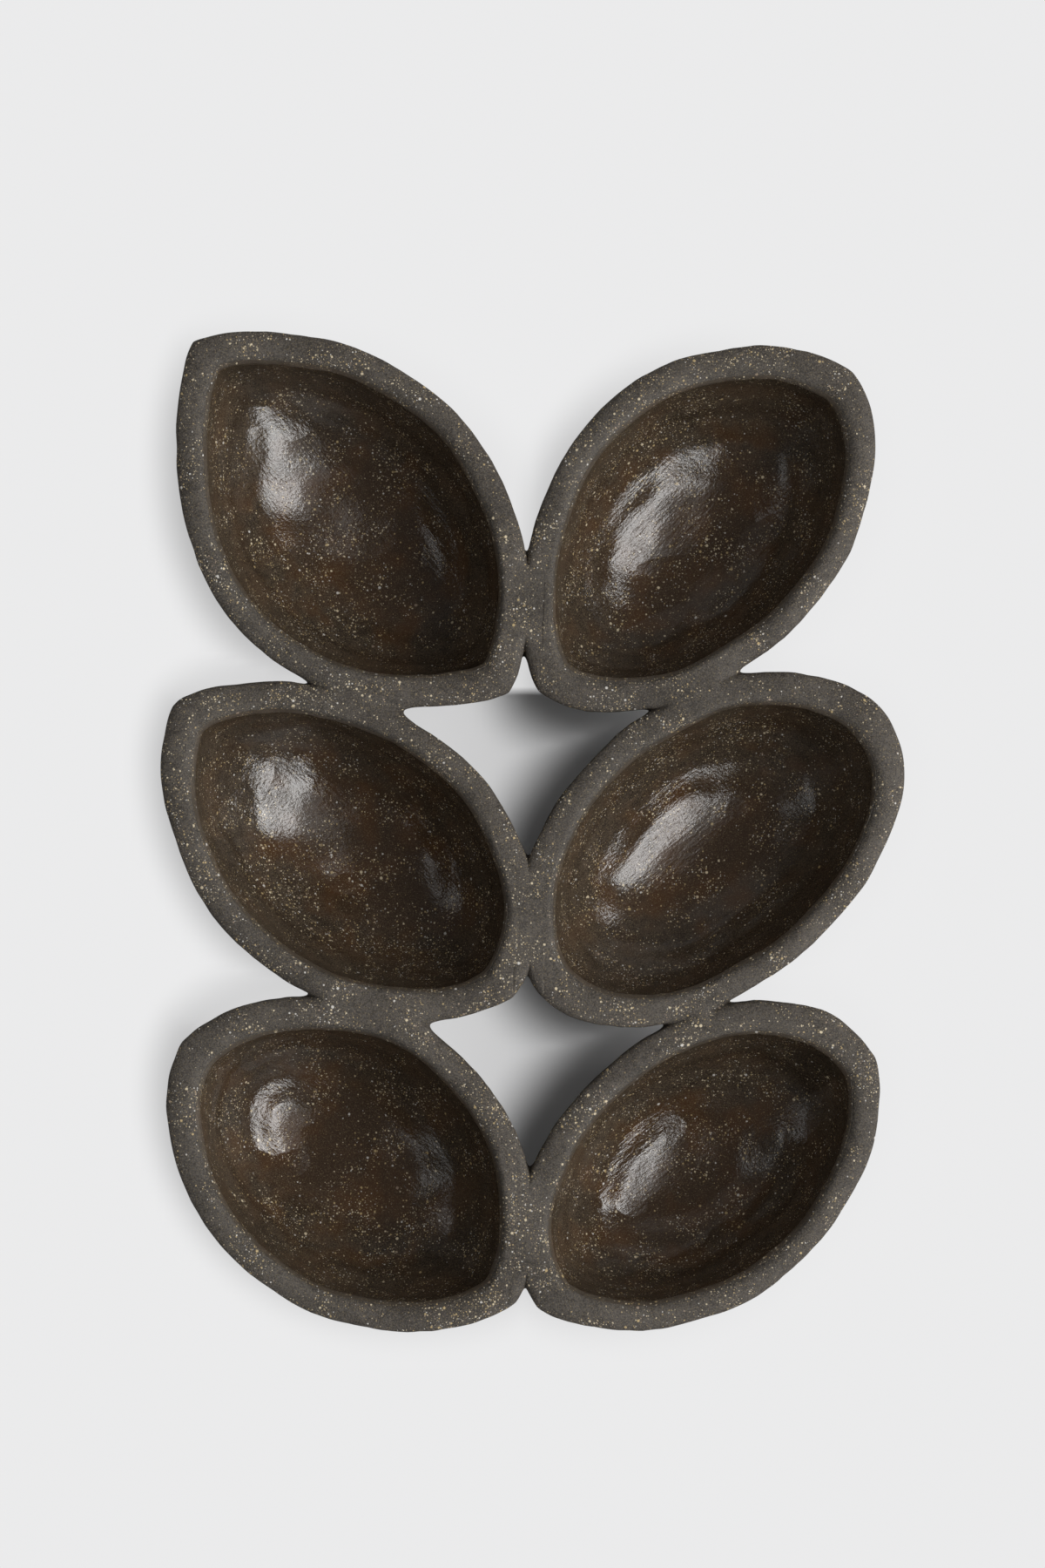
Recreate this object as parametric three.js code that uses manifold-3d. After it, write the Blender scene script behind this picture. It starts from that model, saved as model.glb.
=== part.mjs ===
// Divided serving dish of hand-built stoneware. Six leaf-shaped bowls are pressed together in two columns of
// three and luted with soft clay, and each hollow has its own coat of glaze. Millimetres, +Z up. The dish
// stands on Z 0, with the origin under the middle of its outline.
import * as THREE from "three";
import { mergeVertices } from "three/addons/utils/BufferGeometryUtils.js";
import Module from "manifold-3d";

// Driving dimensions of a bowl in plan, which each bowl differs from a little
const LEAF_LENGTH = 128; // tip to tip
const LEAF_BELLY = 42; // half-width

// Driving dimensions of a bowl's section
const RIM_HEIGHT = 48; // table to the top of the rim
const WALL = 7.5; // rim width along a bowl's sides
const TIP_TAPER = 1.35; // how much deeper an inset is at a tip than along the sides
const RIM_EDGE = 2; // rounding of the rim's outer edge
const RIM_LIP = 1; // rounding of the rim's inner edge
const FLOOR = 8; // clay under the edge of a hollow's floor
const FLOOR_DISH = 1; // how far the floor sinks towards its middle
const COVE = 27; // how far the hollow's wall runs in from the rim to the floor
const HULL_SPREAD = 28; // how far the underside would run in if it were not cut flat
const FOOT_CUT = 2; // how much of the round underside the flat foot takes off

// Driving dimensions of the coat and the joints
const GLAZE = 0.7; // thickness of a glaze lining
const GLAZE_STOP = 1; // bare clay left between the rim's inner edge and the lining
const SLIP = 1.2; // soft clay left between two pressed faces
const LUTE = 1.6; // how far clay is worked out into a notch, from each wall
const SEAM_DROP = 0.5; // top of a seam below the rim
const CLEARANCE = 0.3; // gap between one piece and the next
const TOP_STEP = 1; // inner tip of the top right bowl above that of the top left one

// Faceting
const OUTLINE_POINTS = 32;
const WALL_RINGS = 5;

// The bowls. Each leaf runs from an inner tip near the middle of the dish along its heading, in degrees from +X.
// bellyLeft and bellyRight are its half-widths on either side of that line, and the tip values say how pointed
// each side is there: small is round, 1 is sharp. press is how far the leaf reaches over the middle line before
// it is flattened against its neighbour, and overlap how far it reaches into the bowl above it.
const BOWLS = {
  top_left: {
    heading: 132, length: LEAF_LENGTH + 7, bellyLeft: LEAF_BELLY + 3.5, bellyRight: LEAF_BELLY + 0.5, press: 0.6,
    tips: { innerLeft: 0.75, outerLeft: 0.8, innerRight: 0.75, outerRight: 0.75 },
  },
  top_right: {
    heading: 45.5, length: LEAF_LENGTH + 0.5, bellyLeft: LEAF_BELLY + 2, bellyRight: LEAF_BELLY - 3, press: 1.2,
    tips: { innerLeft: 0.75, outerLeft: 0.65, innerRight: 0.6, outerRight: 0.6 },
  },
  middle_left: {
    heading: 139.5, length: LEAF_LENGTH + 0.5, bellyLeft: LEAF_BELLY - 2, bellyRight: LEAF_BELLY + 0.5,
    press: 3.5, above: "top_left", overlap: 1.2,
    tips: { innerLeft: 0.7, outerLeft: 0.7, innerRight: 0.55, outerRight: 0.65 },
  },
  middle_right: {
    heading: 39, length: LEAF_LENGTH, bellyLeft: LEAF_BELLY + 1, bellyRight: LEAF_BELLY - 3,
    press: 2.5, above: "top_right", overlap: 1.2,
    tips: { innerLeft: 0.55, outerLeft: 0.55, innerRight: 0.5, outerRight: 0.5 },
  },
  bottom_left: {
    heading: 142, length: LEAF_LENGTH - 6, bellyLeft: LEAF_BELLY - 1.5, bellyRight: LEAF_BELLY + 4.5,
    press: 2.9, above: "middle_left", overlap: 3.2,
    tips: { innerLeft: 0.7, outerLeft: 0.65, innerRight: 0.65, outerRight: 0.65 },
  },
  bottom_right: {
    heading: 36.5, length: LEAF_LENGTH - 7, bellyLeft: LEAF_BELLY + 1.5, bellyRight: LEAF_BELLY - 6.5,
    press: 3.5, above: "middle_right", overlap: 0.6,
    tips: { innerLeft: 0.5, outerLeft: 0.45, innerRight: 0.7, outerRight: 0.7 },
  },
};

// The joints, each between two bowls
const SEAMS = {
  seam_top: ["top_left", "top_right"],
  seam_middle: ["middle_left", "middle_right"],
  seam_bottom: ["bottom_left", "bottom_right"],
  seam_left_upper: ["top_left", "middle_left"],
  seam_left_lower: ["middle_left", "bottom_left"],
  seam_right_upper: ["top_right", "middle_right"],
  seam_right_lower: ["middle_right", "bottom_right"],
};

const CLAY_COLOUR = "#5a544e";
const SEAM_COLOUR = "#565049";
const GLAZE_COLOUR = "#33281f";

const wasm = await Module();
wasm.setup();

// A closed triangle mesh as a solid that can be joined and cut
function toSolid(geometry) {
  const vertProperties = new Float32Array(geometry.attributes.position.array);
  const triVerts = new Uint32Array(geometry.index.array);
  return new wasm.Manifold(new wasm.Mesh({ numProp: 3, vertProperties, triVerts }));
}

// A solid as a geometry for a mesh
function toGeometry(solid) {
  const mesh = solid.getMesh();
  return meshGeometry(Array.from(mesh.vertProperties), Array.from(mesh.triVerts));
}

function meshGeometry(positions, triangles) {
  const geometry = new THREE.BufferGeometry();
  geometry.setAttribute("position", new THREE.Float32BufferAttribute(positions, 3));
  geometry.setIndex(triangles);
  geometry.computeVertexNormals();
  return geometry;
}

// Half-width of a leaf at a share of its length, as a share of its widest
function swell(share, inner, outer) {
  const widest = inner / (inner + outer);
  return (share / widest) ** inner * ((1 - share) / (1 - widest)) ** outer;
}

// A bowl's outline, drawn in from the rim's outer edge by an inset, anticlockwise from the inner tip
function leafOutline(bowl, inset) {
  const along = new THREE.Vector2(1, 0).rotateAround(new THREE.Vector2(), THREE.MathUtils.degToRad(bowl.heading));
  const left = new THREE.Vector2(-along.y, along.x);
  const length = bowl.length - 2 * inset * TIP_TAPER;
  const { innerLeft, outerLeft, innerRight, outerRight } = bowl.tips;
  const points = [];
  for (let i = 0; i < OUTLINE_POINTS; i += 1) {
    const turn = (2 * Math.PI * i) / OUTLINE_POINTS;
    const share = (1 - Math.cos(turn)) / 2;
    const onRight = i < OUTLINE_POINTS / 2;
    const side = onRight
      ? -(bowl.bellyRight - inset) * swell(share, innerRight, outerRight)
      : (bowl.bellyLeft - inset) * swell(share, innerLeft, outerLeft);
    const point = bowl.tip.clone().addScaledVector(along, inset * TIP_TAPER + length * share);
    points.push(point.addScaledVector(left, side));
  }
  return points;
}

// The middle of a bowl, where its foot and its floor close
function leafMiddle(bowl) {
  const outline = leafOutline(bowl, 0);
  const middle = outline.reduce((sum, point) => sum.add(point), new THREE.Vector2());
  return middle.divideScalar(outline.length);
}

// A closed skin over rings of a bowl's outline. It starts at the middle of the foot, at the first height given,
// goes out and up through the rings, each an inset and a height, and ends over the middle at the last height.
function loftLeaf(bowl, startHeight, rings, endHeight) {
  const middle = leafMiddle(bowl);
  const positions = [middle.x, middle.y, startHeight];
  for (const { inset, height } of rings) {
    for (const point of leafOutline(bowl, inset)) positions.push(point.x, point.y, height);
  }
  positions.push(middle.x, middle.y, endHeight);
  const last = positions.length / 3 - 1;
  const at = (ring, i) => 1 + ring * OUTLINE_POINTS + (i % OUTLINE_POINTS);
  const triangles = [];
  for (let i = 0; i < OUTLINE_POINTS; i += 1) {
    triangles.push(0, at(0, i + 1), at(0, i));
    for (let ring = 0; ring < rings.length - 1; ring += 1) {
      triangles.push(at(ring, i), at(ring, i + 1), at(ring + 1, i + 1));
      triangles.push(at(ring, i), at(ring + 1, i + 1), at(ring + 1, i));
    }
    triangles.push(at(rings.length - 1, i), at(rings.length - 1, i + 1), last);
  }
  return meshGeometry(positions, triangles);
}

// Rings of the underside from the foot's edge up to where the rim begins to round, grown outwards
function hullRings(grow) {
  const shoulder = RIM_HEIGHT - RIM_EDGE;
  const footAngle = Math.asin(shoulder / (shoulder + FOOT_CUT));
  const rings = [];
  for (let i = 0; i <= WALL_RINGS; i += 1) {
    const angle = footAngle * (1 - i / WALL_RINGS);
    const height = shoulder - (shoulder + FOOT_CUT) * Math.sin(angle);
    rings.push({ inset: HULL_SPREAD * (1 - Math.cos(angle)) - grow, height: Math.max(height, 0) });
  }
  return rings;
}

// Rings of the rim, over its rounded outer edge and flat top to its inner edge
function rimRings() {
  const rounding = RIM_EDGE * (1 - Math.SQRT1_2);
  return [
    { inset: rounding, height: RIM_HEIGHT - rounding },
    { inset: RIM_EDGE, height: RIM_HEIGHT },
    { inset: WALL - RIM_LIP, height: RIM_HEIGHT },
  ];
}

// Rings of a hollow from its top edge down to its floor, drawn into the hollow by an offset
function hollowRings(offset, top) {
  const rings = [];
  for (let i = 0; i <= WALL_RINGS; i += 1) {
    const angle = (Math.PI / 2) * (i / WALL_RINGS);
    const height = top - (top - FLOOR - offset) * Math.sin(angle);
    rings.push({ inset: WALL + offset + COVE * (1 - Math.cos(angle)), height });
  }
  return rings;
}

// One clay bowl before it is joined: foot, underside, rim and hollow
function bowlGeometry(bowl) {
  const rings = [...hullRings(0), ...rimRings(), ...hollowRings(0, RIM_HEIGHT - RIM_LIP)];
  return loftLeaf(bowl, 0, rings, FLOOR - FLOOR_DISH);
}

// The glaze in one hollow, an even coat that stops short of the rim
function glazeGeometry(bowl) {
  const top = RIM_HEIGHT - RIM_LIP - GLAZE_STOP;
  const clayFace = hollowRings(CLEARANCE, top).reverse();
  const openFace = hollowRings(CLEARANCE + GLAZE, top);
  const claySide = FLOOR - FLOOR_DISH + CLEARANCE;
  return loftLeaf(bowl, claySide, [...clayFace, ...openFace], claySide + GLAZE);
}

// A bowl's outside as one filled block, grown outwards and carried straight up to a height
function filledHull(bowl, grow, top) {
  return toSolid(loftLeaf(bowl, 0, [...hullRings(grow), { inset: -grow, height: top }], top));
}

// Where two line stretches cross, or nothing
function crossing(a, b, c, d) {
  const along = b.clone().sub(a);
  const other = d.clone().sub(c);
  const across = along.cross(other);
  const start = c.clone().sub(a);
  const share = start.cross(other) / across;
  const otherShare = start.cross(along) / across;
  const meets = share >= 0 && share < 1 && otherShare >= 0 && otherShare < 1;
  return meets ? a.clone().addScaledVector(along, share) : null;
}

// The upright plane between two pressed bowls: the two points where their outlines cross, and the direction
// that points from the first bowl to the second
function seamPlane(first, second) {
  const a = leafOutline(first, 0);
  const b = leafOutline(second, 0);
  const points = [];
  a.forEach((start, i) => {
    b.forEach((from, j) => {
      const point = crossing(start, a[(i + 1) % a.length], from, b[(j + 1) % b.length]);
      if (point) points.push(point);
    });
  });
  points.sort((p, q) => p.distanceTo(points[0]) - q.distanceTo(points[0]));
  const [start, end] = [points[0], points[points.length - 1]];
  const normal = end.clone().sub(start).normalize().rotateAround(new THREE.Vector2(), Math.PI / 2);
  const towards = leafMiddle(second).sub(leafMiddle(first));
  if (normal.dot(towards) < 0) normal.negate();
  return { middle: start.clone().add(end).divideScalar(2), normal };
}

// Everything on the far side of a seam's plane, starting a distance past it, as a block to cut away
function farSide(plane, sense, distance) {
  const reach = 4 * Math.max(...Object.values(BOWLS).map((bowl) => bowl.length));
  const normal = plane.normal.clone().multiplyScalar(sense);
  const centre = plane.middle.clone().addScaledVector(normal, distance + reach / 2);
  const block = new THREE.BoxGeometry(reach, reach, reach);
  block.rotateZ(normal.angle()).translate(centre.x, centre.y, 0);
  block.deleteAttribute("normal");
  block.deleteAttribute("uv");
  return toSolid(mergeVertices(block));
}

// The highest or lowest point of an outline over one place on X
function edgeAt(outline, x, pick) {
  const heights = [];
  outline.forEach((a, i) => {
    const b = outline[(i + 1) % outline.length];
    if ((a.x - x) * (b.x - x) > 0 || a.x === b.x) return;
    heights.push(a.y + ((b.y - a.y) * (x - a.x)) / (b.x - a.x));
  });
  return heights.length ? pick(...heights) : null;
}

// Sets each bowl down as it is pressed into place: against the middle line, then up against the bowl above it
function placeBowls() {
  for (const [name, bowl] of Object.entries(BOWLS)) {
    bowl.tip = new THREE.Vector2();
    const places = leafOutline(bowl, 0).map((point) => point.x);
    bowl.tip.x = name.endsWith("left") ? bowl.press - Math.max(...places) : -bowl.press - Math.min(...places);
    if (!bowl.above) {
      bowl.tip.y = name.endsWith("right") ? TOP_STEP : 0;
      continue;
    }
    const own = leafOutline(bowl, 0);
    const above = leafOutline(BOWLS[bowl.above], 0);
    const gaps = [...own, ...above].map(({ x }) => {
      const under = edgeAt(above, x, Math.min);
      const over = edgeAt(own, x, Math.max);
      return under === null || over === null ? Infinity : under - over;
    });
    bowl.tip.y = Math.min(...gaps) + bowl.overlap;
  }
}

// The clay worked between two bowls: where both of them, grown by the luting, meet, less the bowls themselves
function seamSolid(first, second) {
  const top = RIM_HEIGHT - SEAM_DROP;
  const plane = seamPlane(first, second);
  const body = filledHull(first, LUTE, top).intersect(filledHull(second, LUTE, top));
  const block = (bowl, sense) =>
    filledHull(bowl, CLEARANCE, RIM_HEIGHT + CLEARANCE).subtract(farSide(plane, sense, -SLIP / 2));
  return body.subtract(block(first, 1)).subtract(block(second, -1));
}

// A bowl flattened where it is pressed against its neighbours
function joinedBowl(name) {
  const cutBack = -(SLIP / 2 + CLEARANCE);
  let solid = toSolid(bowlGeometry(BOWLS[name]));
  for (const [first, second] of Object.values(SEAMS)) {
    const plane = seamPlane(BOWLS[first], BOWLS[second]);
    if (name === first) solid = solid.subtract(farSide(plane, 1, cutBack));
    if (name === second) solid = solid.subtract(farSide(plane, -1, cutBack));
  }
  return solid;
}

function piece(name, geometry, color, roughness) {
  const mesh = new THREE.Mesh(geometry, new THREE.MeshStandardMaterial({ color, roughness, metalness: 0 }));
  mesh.name = name;
  return mesh;
}

placeBowls();
const dish = new THREE.Group();
for (const [name, bowl] of Object.entries(BOWLS)) {
  dish.add(piece(`bowl_${name}`, toGeometry(joinedBowl(name)), CLAY_COLOUR, 0.85));
  dish.add(piece(`glaze_${name}`, glazeGeometry(bowl), GLAZE_COLOUR, 0.2));
}
for (const [name, [first, second]] of Object.entries(SEAMS)) {
  dish.add(piece(name, toGeometry(seamSolid(BOWLS[first], BOWLS[second])), SEAM_COLOUR, 0.9));
}

// The middle of the whole outline goes over the origin
const extent = new THREE.Box3().setFromObject(dish);
const offCentre = extent.getCenter(new THREE.Vector3());
dish.position.set(-offCentre.x, -offCentre.y, 0);

export default dish;
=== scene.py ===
"""Looks of a divided serving dish.

Six leaf-shaped stoneware bowls stand in two columns of three. Each hollow has a coat of dark glaze, and
seven luted seams of clay join the bowls where they are pressed together. Sizes are in millimetres, with +Z
up and the dish standing on Z 0. Meshes are in metres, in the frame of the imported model.
"""

from __future__ import annotations

import logging
import math
from dataclasses import dataclass
from dataclasses import field
from enum import Enum

import bpy
import numpy as np
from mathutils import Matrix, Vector

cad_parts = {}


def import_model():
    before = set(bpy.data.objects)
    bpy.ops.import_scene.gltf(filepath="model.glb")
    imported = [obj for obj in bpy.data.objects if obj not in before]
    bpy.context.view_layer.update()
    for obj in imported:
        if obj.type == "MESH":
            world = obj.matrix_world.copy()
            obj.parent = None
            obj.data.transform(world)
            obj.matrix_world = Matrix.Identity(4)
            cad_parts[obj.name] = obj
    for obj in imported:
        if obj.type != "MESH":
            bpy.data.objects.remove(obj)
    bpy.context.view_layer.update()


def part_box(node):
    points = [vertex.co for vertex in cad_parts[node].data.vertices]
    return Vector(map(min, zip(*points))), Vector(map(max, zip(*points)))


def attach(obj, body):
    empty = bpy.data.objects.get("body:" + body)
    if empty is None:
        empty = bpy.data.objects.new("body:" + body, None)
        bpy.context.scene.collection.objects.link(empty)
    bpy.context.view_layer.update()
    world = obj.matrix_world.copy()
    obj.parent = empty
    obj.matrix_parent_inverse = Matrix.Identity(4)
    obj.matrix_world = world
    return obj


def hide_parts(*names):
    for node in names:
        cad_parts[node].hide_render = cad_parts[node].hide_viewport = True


LOG = logging.getLogger("serving_dish")

MM = 0.001
BODY = "root"
OUTLINE_POINTS = 192
SHARP_ANGLE = math.radians(50)
OVAL_TIP = 0.5
RIGHT_ANGLE = math.pi / 2
TINY = 1e-6


def ease(share: float | np.ndarray) -> float | np.ndarray:
    """A smooth rise from 0 to 1, for shares between them."""
    return share * share * (3 - 2 * share)


def turns() -> np.ndarray:
    """Angles of the outline points around a bowl, from its inner tip."""
    return np.arange(OUTLINE_POINTS) * 2 * math.pi / OUTLINE_POINTS


class Place(Enum):
    """The six bowls, seen from above."""

    TOP_LEFT = "top_left"
    TOP_RIGHT = "top_right"
    MIDDLE_LEFT = "middle_left"
    MIDDLE_RIGHT = "middle_right"
    BOTTOM_LEFT = "bottom_left"
    BOTTOM_RIGHT = "bottom_right"


RIGHT_SIDE = (Place.TOP_RIGHT, Place.MIDDLE_RIGHT, Place.BOTTOM_RIGHT)


class Rays(Enum):
    """What a lamp's light reaches: everything, matte shading alone, or reflections alone."""

    ALL = "all"
    MATTE = "matte"
    GLOSS = "gloss"


class Slot(Enum):
    """The record's material slots."""

    STONEWARE = "stoneware"
    GLAZE = "glaze"
    LUTING_CLAY = "luting_clay"


@dataclass(frozen=True)
class Leaf:
    """Plan shape of one bowl.

    The leaf runs from its inner tip along its heading, in degrees from +X. The bellies are its half-widths
    on either side of that line. The tip values say how pointed each side is there: OVAL_TIP is round, 1 is
    sharp. The bowl sits nudge from its place in the frame, the hollow's edge lies off_centre from the
    middle of the rim, and its lowest point low_shift from the bowl's middle, all in X and Y.
    """

    heading: float
    length: float
    belly_left: float
    belly_right: float
    inner_left: float
    outer_left: float
    inner_right: float
    outer_right: float
    nudge: tuple[float, float]
    off_centre: tuple[float, float]
    low_shift: tuple[float, float]


LEAVES: dict[Place, Leaf] = {
    Place.TOP_LEFT: Leaf(
        heading=132, length=135, belly_left=45.5, belly_right=42.5,
        inner_left=0.75, outer_left=0.8, inner_right=0.75, outer_right=0.75,
        nudge=(0.5, 0.5), off_centre=(0.0, 0.0), low_shift=(9.0, -5.0),
    ),
    Place.TOP_RIGHT: Leaf(
        heading=45.5, length=128.5, belly_left=44, belly_right=39.6,
        inner_left=0.75, outer_left=0.65, inner_right=0.6, outer_right=0.6,
        nudge=(0.9, -0.4), off_centre=(0.7, 0.0), low_shift=(-5.0, -5.0),
    ),
    Place.MIDDLE_LEFT: Leaf(
        heading=139.5, length=128.5, belly_left=40, belly_right=42.5,
        inner_left=0.7, outer_left=0.7, inner_right=0.55, outer_right=0.65,
        nudge=(0.4, -0.2), off_centre=(0.0, 0.0), low_shift=(5.0, 0.0),
    ),
    Place.MIDDLE_RIGHT: Leaf(
        heading=39, length=128, belly_left=43, belly_right=39,
        inner_left=0.55, outer_left=0.55, inner_right=0.5, outer_right=0.5,
        nudge=(0.8, -0.8), off_centre=(0.6, 0.0), low_shift=(-1.0, 1.0),
    ),
    Place.BOTTOM_LEFT: Leaf(
        heading=142, length=122, belly_left=40.5, belly_right=46.5,
        inner_left=0.7, outer_left=0.65, inner_right=0.65, outer_right=0.65,
        nudge=(-0.4, -0.8), off_centre=(0.0, -0.3), low_shift=(-14.0, 6.0),
    ),
    Place.BOTTOM_RIGHT: Leaf(
        heading=36.5, length=121, belly_left=43.5, belly_right=35.5,
        inner_left=0.5, outer_left=0.45, inner_right=0.7, outer_right=0.7,
        nudge=(0.8, -1.5), off_centre=(0.4, 0.0), low_shift=(-9.0, -8.0),
    ),
}


@dataclass(frozen=True)
class Joint:
    """Two bowls pressed together.

    start_fill is how wide the clay is filled in at the joint's left or upper end, and end_fill at its
    other.
    """

    first: Place
    second: Place
    start_fill: float = 1.2
    end_fill: float = 1.2


JOINTS: dict[str, Joint] = {
    "seam_top": Joint(Place.TOP_LEFT, Place.TOP_RIGHT),
    "seam_middle": Joint(Place.MIDDLE_LEFT, Place.MIDDLE_RIGHT),
    "seam_bottom": Joint(Place.BOTTOM_LEFT, Place.BOTTOM_RIGHT),
    "seam_left_upper": Joint(Place.TOP_LEFT, Place.MIDDLE_LEFT, 1.4, 6.0),
    "seam_left_lower": Joint(Place.MIDDLE_LEFT, Place.BOTTOM_LEFT, 1.4, 6.0),
    "seam_right_upper": Joint(Place.TOP_RIGHT, Place.MIDDLE_RIGHT, 1.6, 3.0),
    "seam_right_lower": Joint(Place.MIDDLE_RIGHT, Place.BOTTOM_RIGHT, 1.6, 1.6),
}


@dataclass(frozen=True)
class Section:
    """Upright section that all six bowls share.

    rim_height comes from the frame. wall is the rim's width along a bowl's sides, and an inset is tip_taper
    times deeper at the tips. lining_inset is the inset at which the frame's linings begin. The rim rounds
    off over edge_in and edge_drop outside. Inside it rolls over by lip_drop, over lip_in on its free sides
    and joint_lip beside a seam, where the seam's clay dives under it sooner by bite. At least rim_flat of
    the rim stays flat. low is the hollow's lowest height. fullness says how steep its wall stands: 2 is an
    ellipse, more is steeper. hull_spread is how far the underside would run in if the foot didn't cut it
    flat by foot_cut. foot_edge is the width of the foot's rounded edge, and coat the glaze's thickness.
    """

    rim_height: float
    wall: float = 7.8
    lining_inset: float = 7.8
    tip_taper: float = 1.35
    edge_in: float = 4.2
    edge_drop: float = 1.9
    lip_in: float = 3.4
    joint_lip: float = 1.9
    lip_drop: float = 2.4
    bite: float = 0.8
    rim_flat: float = 0.1
    low: float = 7.0
    fullness: float = 2.4
    hull_spread: float = 28.0
    foot_cut: float = 2.0
    foot_edge: float = 1.2
    coat: float = 0.4

    @property
    def shoulder(self) -> float:
        """Height at which the rim's outer edge begins to round."""
        return self.rim_height - self.edge_drop

    @property
    def hollow_top(self) -> float:
        """Height at which the rim's inner edge ends and the hollow's wall begins."""
        return self.rim_height - self.lip_drop

    def edge(self, angle: float | np.ndarray) -> tuple[float | np.ndarray, float | np.ndarray]:
        """The rim's rounded outer edge.

        Args:
            angle: 0 at the shoulder, a right angle at the top.

        Returns:
            Inset and height.
        """
        return self.edge_in * (1 - np.cos(angle)), self.rim_height - self.edge_drop * (1 - np.sin(angle))

    def lip_fall(self, depth: np.ndarray) -> np.ndarray:
        """How far below the rim a seam's clay lies where it dives under a bowl's inner edge.

        Args:
            depth: Distances in past the hollow's edge, negative on the rim.

        Returns:
            The fall at each place.
        """
        over = np.clip((depth + self.bite) / self.joint_lip + 1, 0, 1)
        return self.lip_drop * (1 - np.sqrt(1 - over * over))

    def hull(self, height: float | np.ndarray) -> float | np.ndarray:
        """How far in from the rim the underside lies at a height.

        Args:
            height: Height above the table, up to the shoulder.

        Returns:
            The inset there.
        """
        sine = (self.shoulder - height) / (self.shoulder + self.foot_cut)
        return self.hull_spread * (1 - np.sqrt(1 - sine * sine))

    def hollow(self, share: float, offset: np.ndarray) -> tuple[float, np.ndarray]:
        """The hollow's wall and bottom, drawn out from the clay by offsets.

        Args:
            share: 0 at the rim's inner edge, 1 in the middle of the bottom.
            offset: Distance from the clay at each outline point.

        Returns:
            Scale of the inner edge's outline, and height at each point.
        """
        angle = share * RIGHT_ANGLE
        drop = math.sin(angle) ** (2 / self.fullness)
        return math.cos(angle), self.hollow_top - (self.hollow_top - self.low - offset) * drop


@dataclass(frozen=True)
class Waver:
    """A smooth random field in space, a sum of sine waves of mixed length with a spread of 1."""

    seed: int
    shortest: float
    longest: float
    waves: int = 16

    def __call__(self, points: np.ndarray) -> np.ndarray:
        """The field at some points.

        Args:
            points: Places in millimetres, one a row.

        Returns:
            One value for each point.
        """
        draw = np.random.default_rng(self.seed)
        ways = draw.normal(size=(self.waves, 3))
        ways /= np.linalg.norm(ways, axis=1, keepdims=True)
        lengths = np.exp(draw.uniform(math.log(self.shortest), math.log(self.longest), self.waves))
        phases = draw.uniform(0, 2 * math.pi, self.waves)
        angles = points @ (ways / lengths[:, None] * 2 * math.pi).T + phases
        return np.sin(angles).sum(axis=1) * math.sqrt(2 / self.waves)


@dataclass(frozen=True)
class HandWork:
    """How far shaping by hand leaves the clay from its drawn form.

    The whole dish leans and swells by the same fields, so neighbouring pieces stay together: sway and
    tremble move it in plan, slowly and finely, and rise lifts it. Finger dents press each surface in and
    out along its own normal, by rim_dent at the rim and deep_dent from deep_from below it, and fade out
    below flat_under.
    """

    rim_height: float
    sway: float = 0.26
    tremble: float = 0.06
    rise: float = 0.22
    rim_dent: float = 0.05
    deep_dent: float = 0.24
    deep_from: float = 26.0
    flat_under: float = 4.0
    sway_x: Waver = Waver(11, 22, 70)
    sway_y: Waver = Waver(12, 22, 70)
    sway_z: Waver = Waver(13, 26, 80)
    tremble_x: Waver = Waver(15, 4, 10)
    tremble_y: Waver = Waver(16, 4, 10)
    fingers: Waver = Waver(14, 13, 30)

    def warp(self, points: np.ndarray) -> np.ndarray:
        """Points moved as the soft clay moved.

        Args:
            points: Drawn places in millimetres, one a row.

        Returns:
            The places after shaping. Points on the table stay on it.
        """
        moved = points.copy()
        moved[:, 0] += self.sway * self.sway_x(points) + self.tremble * self.tremble_x(points)
        moved[:, 1] += self.sway * self.sway_y(points) + self.tremble * self.tremble_y(points)
        moved[:, 2] += self.rise * self.sway_z(points) * np.clip(points[:, 2] / self.rim_height, 0, 1) ** 2
        return moved

    def press(self, mesh: bpy.types.Mesh) -> None:
        """Presses finger dents into a mesh along its normals, leaving what stands on the table flat.

        Args:
            mesh: The mesh to change.
        """
        count = len(mesh.vertices)
        places = np.empty(count * 3)
        normals = np.empty(count * 3)
        mesh.vertices.foreach_get("co", places)
        mesh.vertices.foreach_get("normal", normals)
        points = places.reshape(-1, 3) / MM
        down = np.clip((self.rim_height - points[:, 2]) / self.deep_from, 0, 1)
        depth = self.rim_dent + (self.deep_dent - self.rim_dent) * ease(down)
        push = depth * self.fingers(points) * np.clip(points[:, 2] / self.flat_under, 0, 1)
        points += normals.reshape(-1, 3) * push[:, None]
        mesh.vertices.foreach_set("co", (points * MM).ravel())
        mesh.update()


Faces = list[tuple[int, ...]]


def make_piece(name: str, points: np.ndarray, faces: Faces) -> bpy.types.Object:
    """Makes a smooth-shaded object in the row frame.

    Args:
        name: The piece's name.
        points: Vertices in millimetres, one a row.
        faces: Vertex numbers of each face.

    Returns:
        The linked object.
    """
    mesh = bpy.data.meshes.new(name)
    mesh.from_pydata((points * MM).tolist(), [], faces)
    mesh.update()
    mesh.shade_smooth()
    mesh.set_sharp_from_angle(angle=SHARP_ANGLE)
    piece = bpy.data.objects.new(name, mesh)
    bpy.context.scene.collection.objects.link(piece)
    return piece


def settle(piece: bpy.types.Object, node: str, material: bpy.types.Material) -> None:
    """Dresses a piece, puts it on the dish's body and lets it stand for its CAD node.

    Args:
        piece: The visual piece.
        node: The CAD node that it replaces.
        material: Its finish.
    """
    piece.data.materials.append(material)
    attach(piece, BODY)
    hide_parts(node)
    LOG.info("%s: %d vertices, replaces %s", piece.name, len(piece.data.vertices), node)


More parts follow.
